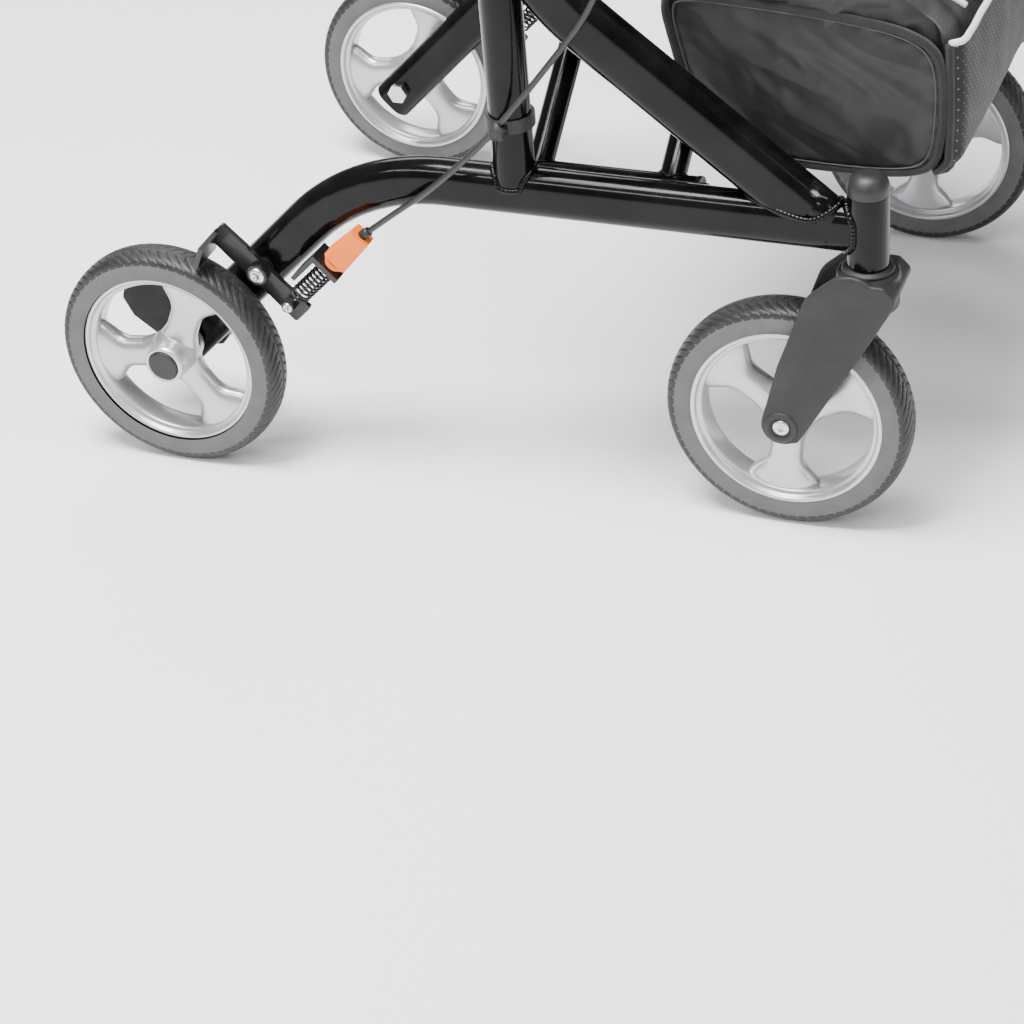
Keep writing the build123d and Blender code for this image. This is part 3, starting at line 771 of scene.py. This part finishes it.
def nurbs_points(control, order, resolution):
    """Points along a NURBS curve that starts and ends at its first and last control points."""
    curve = bpy.data.curves.new("line", "CURVE")
    curve.dimensions = "3D"
    curve.resolution_u = resolution
    spline = curve.splines.new("NURBS")
    spline.points.add(len(control) - 1)
    for p, place in zip(spline.points, control):
        p.co = (*place, 1)
    spline.order_u = order
    spline.use_endpoint_u = True
    holder = bpy.data.objects.new("line", curve)
    bpy.context.scene.collection.objects.link(holder)
    line = bpy.data.meshes.new_from_object(holder)
    points = [v.co.copy() for v in line.vertices]
    bpy.data.objects.remove(holder)
    return points


# The route in X and Z: from the adjuster through the clip on the leg and up to the brake lever.
CABLE_ROUTE = (
    (-0.0982, 0.2278), (-0.068, 0.2515), (-0.036, 0.2755), (-0.006, 0.303), (0.025, 0.335),
    (0.070, 0.391), (0.1165, 0.452), (0.1325, 0.535), (0.1395, 0.620), (0.1195, 0.712),
    (0.089, 0.795), (0.047, 0.842), (0.003, 0.869), (-0.036, 0.8775), (-0.0752, 0.880),
)
for side, sign in SIDES:
    frame_body = f"frame_{side}"
    y = sign * CABLE_Y
    points = nurbs_points([(x, y, z) for x, z in CABLE_ROUTE], 3, 24)
    v, f = tube_mesh(points, 0.0025, 14)
    cable = make(f"cable_{side}", v, f, JACKET, None)
    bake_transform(cable)
    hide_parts(f"brake_cable_{side}")
    step = (points[1] - points[0]).normalized()
    profile = [(0.0, -0.001), (0.0042, -0.001), (0.0044, 0.004), (0.0040, 0.0075), (0.0031, 0.008)]
    lathe(f"cable_ferrule_{side}", profile, points[0], step, CAP, frame_body, 24)
    profile = [(0.0031, -0.006), (0.0052, -0.006), (0.0057, 0), (0.0052, 0.006), (0.0031, 0.006)]
    eye = (0.0262, y, 0.3345)
    lathe(f"cable_eye_{side}", profile, eye, (0.66, 0, 0.75), PLASTIC, frame_body, 28)


# ---- seat halves --------------------------------------------------------------------


def pillow(name, x0, x1, y0, y1, z0, z1, crown, mat, body, channels=(), rows=64, cols=44):
    """Stuffed board: flat below, crowned above, sides pulled in, with sewn channels across it."""
    top, bottom = [], []
    for i in range(rows + 1):
        u = -1 + 2 * i / rows
        for j in range(cols + 1):
            w = -1 + 2 * j / cols
            pull = 0.0022 * (1 - abs(w) ** 6) * abs(u) ** 8
            x = (x0 + x1) / 2 + (x1 - x0) / 2 * u - math.copysign(pull, u)
            y = (y0 + y1) / 2 + (y1 - y0) / 2 * w
            edge = ((1 - abs(u) ** 14) * (1 - abs(w) ** 10)) ** 0.5 if abs(u) < 1 and abs(w) < 1 else 0
            swell = (1 - u**4) ** 0.5 * (1 - w**4) ** 0.5 if edge else 0
            z = (z0 + z1) / 2 + (z1 - z0) / 2 * edge + crown * swell
            for c in channels:
                gap = abs(x - c)
                z -= 0.0042 * math.exp(-((gap / 0.0035) ** 2)) * min(1, edge * 1.4)
            z += 0.0006 * noise.noise(Vector((x * 55, y * 55, 1.7))) * edge
            top.append((x, y, z))
            bottom.append((x, y, (z0 + z1) / 2 - (z1 - z0) / 2 * edge))
    count = len(top)
    faces = grid_faces(rows + 1, cols + 1, False)
    faces += [tuple(reversed([k + count for k in f])) for f in faces]
    return make(name, top + bottom, faces, mat, body, sub=1)


# Where each half wraps its seat rail, between the brace's arms: X from and to.
SLEEVES = {
    "right": [(-0.022, -0.005), (0.028, 0.047), (0.073, 0.107), (0.133, 0.214)],
    "left": [(-0.022, -0.005), (0.048, 0.131), (0.157, 0.214)],
}
PAD_BACK, PAD_FRONT = -0.022, 0.214


def seat_piping(side, y0, y1):
    """Piping round the middle of the pad's edge."""
    inset, corner = 0.0015, 0.003
    loop = [(-0.019 + 0.230 * t, y0 + inset) for t in np.linspace(0, 1, 24)]
    loop += [(0.2125, y0 + corner + (y1 - y0 - 2 * corner) * t) for t in np.linspace(0, 1, 18)]
    loop += [(0.211 - 0.230 * t, y1 - inset) for t in np.linspace(0, 1, 24)]
    loop += [(-0.0205, y1 - corner - (y1 - y0 - 2 * corner) * t) for t in np.linspace(0, 1, 18)]
    points = [(x, y, 0.5765) for x, y in loop]
    tube(f"seat_piping_{side}", points, 0.0022, BINDING, f"seat_{side}", 10, closed=True)


def seat_sleeve(name, x0, x1, sign, body):
    """Cover wrapped round the seat rail, slightly rippled along its length."""

    def ring(x, radius, scale=1.0):
        turns = np.linspace(0, 2 * math.pi, 41)[:-1]
        r = radius * scale
        return [(x, sign * PIVOT_Y + r * math.cos(t), SEAT_RAIL_Z + r * math.sin(t)) for t in turns]

    rings = [ring(x0, 0.01145)]
    for x in np.linspace(x0, x1, max(3, int((x1 - x0) / 0.006))):
        rings.append(ring(x, 0.0131, 1 + 0.0048 * math.sin(x * 700)))
    rings.append(ring(x1, 0.01145))
    verts = [p for row in rings for p in row]
    make(name, verts, grid_faces(len(rings), 40, True, True), VINYL, body)


for side, sign in SIDES:
    body = f"seat_{side}"
    y0, y1 = sorted((sign * 0.182, sign * 0.0372))
    pad = pillow(
        f"seat_pad_{side}", PAD_BACK, PAD_FRONT, y0, y1, 0.5685, 0.5845, 0.0035,
        VINYL, body, channels=(0.036, 0.096, 0.156),
    )
    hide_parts(f"seat_{side}")
    seat_piping(side, y0, y1)
    flap_y0, flap_y1 = sorted((sign * 0.1985, sign * 0.180))
    for n, (x0, x1) in enumerate(SLEEVES[side]):
        seat_sleeve(f"seat_sleeve_{side}_{n}", x0, x1, sign, body)
        pillow(
            f"seat_flap_{side}_{n}", x0, x1, flap_y0, flap_y1, 0.5695, 0.5845, 0.0,
            VINYL, body, rows=10, cols=8,
        )


def strap_grid(name, line, width_dir, width, thick, mat, body):
    """Flat webbing along a line, with rounded edges."""
    w = Vector(width_dir).normalized()
    pts = [Vector(p) for p in line]
    verts = []
    n = len(pts)
    section = (
        (-1, -0.4), (-0.97, -1), (0.97, -1), (1, -0.4), (1, 0.4), (0.97, 1), (-0.97, 1), (-1, 0.4),
    )
    for i in range(n):
        t = (pts[min(i + 1, n - 1)] - pts[max(i - 1, 0)]).normalized()
        nrm = t.cross(w).normalized()
        for a, b in section:
            verts.append(pts[i] + w * (width / 2 * a) + nrm * (thick / 2 * b))
    faces = grid_faces(n, 8)
    faces.append(tuple(range(8)))
    faces.append(tuple(reversed(range((n - 1) * 8, n * 8))))
    return make(name, verts, faces, mat, body)


# Centre web between the seat halves, with a pull loop sewn across it.
web_line = [(0.008 + 0.168 * t, 0, 0.5805 - 0.0012 * math.sin(math.pi * t)) for t in np.linspace(0, 1, 30)]
web = strap_grid("seat_centre_web", web_line, (0, 1, 0), 0.0732, 0.0022, WEBBING, "seat_right")
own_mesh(web)
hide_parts("seat_web")
pull = []
for t in np.linspace(0, 1, 40):
    y = -0.034 + 0.068 * t
    arch = math.sin(math.pi * min(1, max(0, (t - 0.12) / 0.76))) ** 0.8
    pull.append((0.092, y, 0.5832 + 0.0115 * arch))
loop_strap = strap_grid("seat_pull_loop", pull, (1, 0, 0), 0.028, 0.0018, WEBBING, "seat_right")
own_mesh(loop_strap)


# ---- back strap ---------------------------------------------------------------------
HALF_STRAP = (
    (0.024, 0.237), (0.09, 0.237), (0.15, 0.2365), (0.205, 0.189), (0.243, 0.152), (0.2505, 0.075),
    (0.252, 0.0),
)
control = [(x, -y, STRAP_Z) for x, y in HALF_STRAP]
control += [(x, y, STRAP_Z) for x, y in reversed(HALF_STRAP[:-1])]
back_pts = nurbs_points(control, 4, 16)


def shaped_band(name, pts, half_w, half_h, mat, body, power=3.2, segments=28, wobble=0.0):
    """Padded band with a soft rectangular section standing upright along pts."""
    verts = []
    n = len(pts)
    for i in range(n):
        t = (pts[min(i + 1, n - 1)] - pts[max(i - 1, 0)]).normalized()
        out = t.cross(Vector((0, 0, 1))).normalized()
        taper = min(1, 0.55 + 0.45 * min(i, n - 1 - i) / 5)
        for k in range(segments):
            a = 2 * math.pi * k / segments
            c, s = math.cos(a), math.sin(a)
            cx = math.copysign(abs(c) ** (2 / power), c)
            sz = math.copysign(abs(s) ** (2 / power), s)
            seam = 1 - 0.1 * math.exp(-((s / 0.12) ** 2))
            bump = 1 + wobble * noise.noise(Vector((i * 0.35, s * 2, c)))
            offset = out * (cx * half_w * taper * seam * bump) + Vector((0, 0, sz * half_h * taper))
            verts.append(pts[i] + offset)
    faces = grid_faces(n, segments)
    faces.append(tuple(range(segments)))
    faces.append(tuple(reversed(range((n - 1) * segments, n * segments))))
    return make(name, verts, faces, mat, body)


foam = back_pts[10:-10]
pad_back = shaped_band("back_pad", foam, 0.0075, 0.021, VINYL, "frame_right", wobble=0.1)
band = strap_grid("back_webbing", back_pts, (0, 0, 1), 0.032, 0.003, WEBBING, "frame_right")
for part in (pad_back, band):
    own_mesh(part)
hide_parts("back_strap")


# ---- storage bag --------------------------------------------------------------------
BAG_OUTLINE = [
    (0.178, 0.298), (0.250, 0.294), (0.320, 0.295), (0.352, 0.300), (0.362, 0.316),
    (0.366, 0.360), (0.365, 0.396), (0.352, 0.420), (0.326, 0.438), (0.300, 0.466),
    (0.283, 0.510), (0.270, 0.553), (0.230, 0.549), (0.186, 0.552), (0.178, 0.500),
    (0.175, 0.430), (0.176, 0.360),
]
HALF = 0.197


def resample(poly, count):
    """Closed outline with its corners cut twice, as evenly spaced points."""
    pts = [Vector((x, z)) for x, z in poly]
    for _ in range(2):
        out = []
        for a, b in zip(pts, pts[1:] + pts[:1]):
            out += [a.lerp(b, 0.25), a.lerp(b, 0.75)]
        pts = out
    ring = pts + pts[:1]
    lengths = np.cumsum([0] + [(b - a).length for a, b in zip(ring, ring[1:])])
    result = []
    for k in range(count):
        d = lengths[-1] * k / count
        i = int(np.searchsorted(lengths, d, side="right")) - 1
        f = (d - lengths[i]) / (lengths[i + 1] - lengths[i])
        result.append(ring[i].lerp(ring[i + 1], f))
    return result


def crease(p, seed, stretch, scale):
    """Noise with sharp ridges, from about -1 to 1, drawn out along the small axes of stretch."""
    q = Vector((p.x * stretch[0], p.y * stretch[1], p.z * stretch[2])) * scale
    q += Vector((seed, seed * 2.3, -seed))
    return 1 - abs(noise.noise(q)) * 2.6


outline = resample(BAG_OUTLINE, 150)
mid = Vector((0.262, 0.385))
rings = []
cap = 16
for k in range(1, cap + 1):
    s = k / cap
    bulge = 0.007 * (1 - s**2)
    rings.append((-(HALF - 0.008 + bulge), s * 0.955))
for k in range(1, 5):
    a = math.pi / 2 * k / 4
    y = HALF - 0.008 * math.sin(a) - 0.008 * (1 - math.cos(a))
    rings.append((-y, 0.955 + 0.045 * math.sin(a)))
body_steps = 56
for k in range(1, body_steps):
    rings.append((-(HALF - 0.018) + 2 * (HALF - 0.018) * k / body_steps, 1.0))
for y, s in reversed(rings[: cap + 4]):
    rings.append((-y, s))
verts = []
for y, s in rings:
    for p in outline:
        q = mid + (p - mid) * s
        verts.append(Vector((q.x, y, q.y)))
cols = len(outline)
faces = grid_faces(len(rings), cols)
faces.append(tuple(range(cols)))
faces.append(tuple(reversed(range((len(rings) - 1) * cols, len(rings) * cols))))
bag = make("bag_shell", verts, faces, NYLON, None)

# Wrinkles: long pulls that run from the top corners, short puckers by the seams, slack on the sides.
bm = bmesh.new()
bm.from_mesh(bag.data)
bm.normal_update()
moves = []
for v in bm.verts:
    p = v.co
    side_face = min(1, max(0, (abs(p.y) - 0.186) / 0.008))
    upper = min(1, max(0, (p.z - 0.41) / 0.05))
    long_pull = crease(p, 3.1, (1.0, 0.6, 0.35), 26)
    short = crease(p, 7.7, (1.3, 1.0, 1.1), 46)
    diagonal = crease(Vector((p.x + 0.7 * p.z, p.y, p.z - 0.7 * p.x)), 1.9, (0.4, 0.5, 1.5), 30)
    amount = 0.0016 * long_pull + 0.0009 * short + 0.0019 * diagonal
    amount *= 0.45 + 0.75 * upper + 0.35 * side_face
    edge_band = math.exp(-(((p.z - 0.42) / 0.02) ** 2))
    amount += 0.0011 * edge_band * math.sin(p.x * 260 + 3 * noise.noise(p * 40)) * side_face
    moves.append(v.normal * (amount - 0.0022))
for v, m in zip(bm.verts, moves):
    v.co += m
bm.to_mesh(bag.data)
bm.free()


def settle(obj, frames, pressure, cap_move, pinned):
    """Short cloth simulation with inner pressure; no point ends more than cap_move from its start."""
    bpy.ops.object.select_all(action="DESELECT")
    obj.select_set(True)
    bpy.context.view_layer.objects.active = obj
    group = obj.vertex_groups.new(name="pin")
    for v in obj.data.vertices:
        weight = pinned(v.co)
        if weight > 0:
            group.add([v.index], weight, "REPLACE")
    start = np.array([v.co for v in obj.data.vertices], float)
    mod = obj.modifiers.new("cloth", "CLOTH")
    mod.settings.quality = 6
    mod.settings.mass = 0.25
    mod.settings.tension_stiffness = 18
    mod.settings.compression_stiffness = 6
    mod.settings.bending_stiffness = 0.35
    mod.settings.shrink_min = -0.035
    mod.settings.use_pressure = True
    mod.settings.uniform_pressure_force = pressure
    mod.settings.vertex_group_mass = "pin"
    mod.settings.pin_stiffness = 0.6
    mod.settings.effector_weights.gravity = 0.25
    scene = bpy.context.scene
    scene.frame_start, scene.frame_end = 1, frames
    mod.point_cache.frame_start, mod.point_cache.frame_end = 1, frames
    for f in range(1, frames + 1):
        scene.frame_set(f)
    dg = bpy.context.evaluated_depsgraph_get()
    result = obj.evaluated_get(dg).to_mesh()
    moved = np.array([v.co for v in result.vertices], float)
    obj.evaluated_get(dg).to_mesh_clear()
    obj.modifiers.remove(mod)
    scene.frame_set(1)
    shift = moved - start
    size = np.linalg.norm(shift, axis=1)
    shift *= np.minimum(1, cap_move / np.maximum(size, 1e-9))[:, None]
    final = start + shift
    obj.data.vertices.foreach_set("co", final.astype(np.float32).ravel())
    obj.data.update()
    obj.vertex_groups.clear()


def bag_pin(p):
    """How firmly the cloth is held: fully at the rim, less at the corners, not at all elsewhere."""
    if p.z > 0.535:
        return 1.0
    corner = abs(p.y) > 0.188 and (p.z < 0.302 or abs(p.z - 0.42) < 0.006 or p.x > 0.368)
    return 0.7 if corner else 0.0


settle(bag, 16, 1.6, 0.006, bag_pin)
mod = bag.modifiers.new("sub", "SUBSURF")
mod.levels = mod.render_levels = 1

bag_parts = [bag]
PANEL = [
    (0.170, 0.301), (0.225, 0.297), (0.290, 0.295), (0.332, 0.298), (0.348, 0.307), (0.353, 0.335),
    (0.354, 0.380), (0.345, 0.403), (0.318, 0.414), (0.265, 0.421), (0.200, 0.426), (0.148, 0.428),
    (0.140, 0.420), (0.149, 0.378), (0.163, 0.330),
]


def side_panel(side, sign):
    """Stuffed side panel with pulls from its corners, puckers along the piping, and the piping itself."""
    edge = resample(PANEL, 160)
    mid = Vector((0.255, 0.362))
    verts = []
    rings = 34
    for k in range(rings + 1):
        s = k / rings
        for n, p in enumerate(edge):
            q = mid + (p - mid) * (0.002 + 0.998 * s)
            swell = 0.0062 * (1 - s**5)
            at = Vector((q.x, sign * 0.2, q.y))
            slanted = Vector((q.x - 0.8 * q.y, 0, q.y + 0.6 * q.x))
            fold = 0.0016 * crease(slanted, 2.7 + sign, (0.45, 1, 1.7), 25)
            fold += 0.0011 * crease(at, 5.1 * sign, (1.5, 1, 0.5), 30)
            near_edge = math.exp(-(((1 - s) / 0.09) ** 2))
            pucker = 0.0011 * math.sin(n * 1.35 + 2.2 * noise.noise(at * 60)) * near_edge
            inward = (fold - 0.0012) * min(1, (1 - s) * 5) + pucker
            verts.append((q.x, sign * (0.1935 + swell + inward), q.y))
    count = len(edge)
    outer = len(verts)
    for k in range(6):
        s = 1 - k / 5
        for p in edge:
            q = mid + (p - mid) * max(s, 0.002)
            verts.append((q.x, sign * 0.1865, q.y))
    faces = grid_faces(rings + 1, count)
    faces += grid_faces(6, count, True, False, outer)
    rim_start = outer - count
    for j in range(count):
        after = (j + 1) % count
        faces.append((rim_start + j, rim_start + after, outer + after, outer + j))
    panel = make(f"bag_side_{side}", verts, faces, NYLON, None, sub=1)
    loop = []
    for p in edge:
        at = Vector((p.x * 45, p.y * 45, sign * 3))
        loop.append((p.x + 0.0006 * noise.noise(at), sign * (0.1945 + 0.0008 * noise.noise(at * 1.7)), p.y))
    piping = tube(f"bag_binding_{side}", loop, 0.0036, BINDING, None, 12, closed=True)
    seam = []
    for p in edge:
        q = mid + (p - mid) * 0.945
        seam.append((q.x, sign * 0.1968, q.y))
    stitch = tube(f"bag_stitch_{side}", seam, 0.0006, THREAD, None, 6, closed=True)
    return [panel, piping, stitch]


for side, sign in SIDES:
    bag_parts += side_panel(side, sign)

# Front pocket of open mesh, with pale piping along its top and on the bag's slopes above it.
rows, pocket_cols = 30, 60
pocket = []
for i in range(rows + 1):
    t = i / rows
    z = 0.300 + 0.104 * t
    for j in range(pocket_cols + 1):
        w = -1 + 2 * j / pocket_cols
        y = 0.193 * w
        belly = 0.005 * (1 - w**4) * (0.35 + 0.65 * math.sin(math.pi * min(1, t * 0.9 + 0.1)))
        ripple = 0.0012 * noise.noise(Vector((y * 30, z * 12, 4.2)))
        turn = max(0.0, (abs(y) - 0.180) / 0.0135)
        wrap = 0.012 * (1 - math.sqrt(max(0, 1 - min(1, turn) ** 2)))
        wall = 0.3655 + 0.0012 * math.sin(math.pi * t) - 0.010 * max(0.0, 1 - t / 0.12) ** 2
        pocket.append((wall + belly + ripple - wrap, y, z))
back = [(x - 0.0012, y, z) for x, y, z in pocket]
pf = grid_faces(rows + 1, pocket_cols + 1, False)
pf += [tuple(reversed([k + len(pocket) for k in f])) for f in pf]
bag_parts.append(make("bag_mesh_pocket", pocket + back, pf, MESH, None))
top_edge = pocket[rows * (pocket_cols + 1):]
top_line = [(x + 0.0004, y, z + 0.001) for x, y, z in top_edge]
bag_parts.append(tube("bag_piping_top", top_line, 0.0026, REFLECT, None, 10))
upper = []
for t in np.linspace(0, 1, 40):
    y = -0.150 - 0.02 * t
    q = Vector((0.357, 0.414)).lerp(Vector((0.294, 0.482)), t)
    q += Vector((-0.004, -0.004)) * math.sin(math.pi * t)
    upper.append((q.x + 0.002, y, q.y + 0.002))
bag_parts.append(tube("bag_piping_right", upper, 0.0024, REFLECT, None, 10))
upper_left = [(x, -y, z) for x, y, z in upper]
bag_parts.append(tube("bag_piping_left", upper_left, 0.0024, REFLECT, None, 10))
stride = pocket_cols + 1
pocket_edge = [pocket[i * stride] for i in range(rows, -1, -1)] + pocket[:stride]
pocket_edge += [pocket[i * stride + pocket_cols] for i in range(rows + 1)]
bag_parts.append(tube("bag_pocket_binding", pocket_edge, 0.0032, BINDING, None, 10))
# Top rim of the bag.
path = resample([(0.183, -0.190), (0.183, 0.190), (0.268, 0.190), (0.268, -0.190)], 90)
hem = [(p.x, p.y, 0.5515) for p in path]
bag_parts.append(tube("bag_top_hem", hem, 0.0038, BINDING, None, 10, closed=True))
for part in bag_parts:
    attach(part, "frame_right")
    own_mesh(part)
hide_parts("storage_bag")


# ---- stage --------------------------------------------------------------------------
floor_mesh = bpy.data.meshes.new("floor")
floor_mesh.from_pydata([(-30, -30, 0), (30, -30, 0), (30, 30, 0), (-30, 30, 0)], [], [(0, 1, 2, 3)])
floor = bpy.data.objects.new("floor", floor_mesh)
bpy.context.scene.collection.objects.link(floor)
floor_mat = bpy.data.materials.new("floor")
floor_mat.use_nodes = True
floor_shader = floor_mat.node_tree.nodes["Principled BSDF"]
floor_shader.inputs["Base Color"].default_value = (0.9, 0.9, 0.9, 1)
floor_shader.inputs["Roughness"].default_value = 0.9
floor_shader.inputs["Specular IOR Level"].default_value = 0.1
floor_mesh.materials.append(floor_mat)

world = bpy.data.worlds.new("studio")
bpy.context.scene.world = world
world.use_nodes = True
world.node_tree.nodes["Background"].inputs["Color"].default_value = (1, 1, 1, 1)
world.node_tree.nodes["Background"].inputs["Strength"].default_value = 0.32


def softbox(name, place, target, size, power):
    """Rectangular area light that faces a target."""
    data = bpy.data.lights.new(name, "AREA")
    data.shape = "RECTANGLE"
    data.size, data.size_y = size
    data.energy = power
    obj = bpy.data.objects.new(name, data)
    bpy.context.scene.collection.objects.link(obj)
    obj.location = place
    obj.rotation_mode = "QUATERNION"
    obj.rotation_quaternion = (Vector(target) - Vector(place)).to_track_quat("-Z", "Y")


softbox("overhead", (-0.5, -0.7, 3.4), (0, 0, 0.2), (1.5, 1.5), 275)
softbox("strip_near", (-0.9, -2.6, 2.3), (0, 0, 0.3), (3.0, 0.22), 60)
softbox("strip_high", (0.4, -0.9, 3.0), (0, 0, 0.3), (3.4, 0.2), 60)
softbox("fill", (3.0, -2.2, 1.6), (0.1, 0, 0.4), (0.5, 2.2), 30)
softbox("back", (-1.6, 2.8, 2.4), (0, 0, 0.3), (2.6, 1.0), 60)

# Camera at the viewing angle, without lens shift.
CAMERA_PLACE = (0.74132, -1.94993, 1.26006)
CAMERA_ANGLES = (-23.44494, 34.89618, 5.23799)
SENSOR_MM = 36
LENS_MM = 94.116058594
yaw, pitch, roll = (math.radians(angle) for angle in CAMERA_ANGLES)
look = Vector((math.sin(yaw) * math.cos(pitch), math.cos(yaw) * math.cos(pitch), -math.sin(pitch)))
right = Vector((math.cos(yaw), -math.sin(yaw), 0))
down = look.cross(right)
right_rolled = right * math.cos(roll) + down * math.sin(roll)
down_rolled = down * math.cos(roll) - right * math.sin(roll)
camera_data = bpy.data.cameras.new("camera")
camera_data.sensor_width = SENSOR_MM
camera_data.lens = LENS_MM
camera_data.clip_start, camera_data.clip_end = 0.05, 60
camera = bpy.data.objects.new("camera", camera_data)
bpy.context.scene.collection.objects.link(camera)
turn = Matrix((right_rolled, -down_rolled, -look)).transposed()
camera.matrix_world = Matrix.Translation(CAMERA_PLACE) @ turn.to_4x4()
bpy.context.scene.camera = camera

bpy.context.view_layer.update()
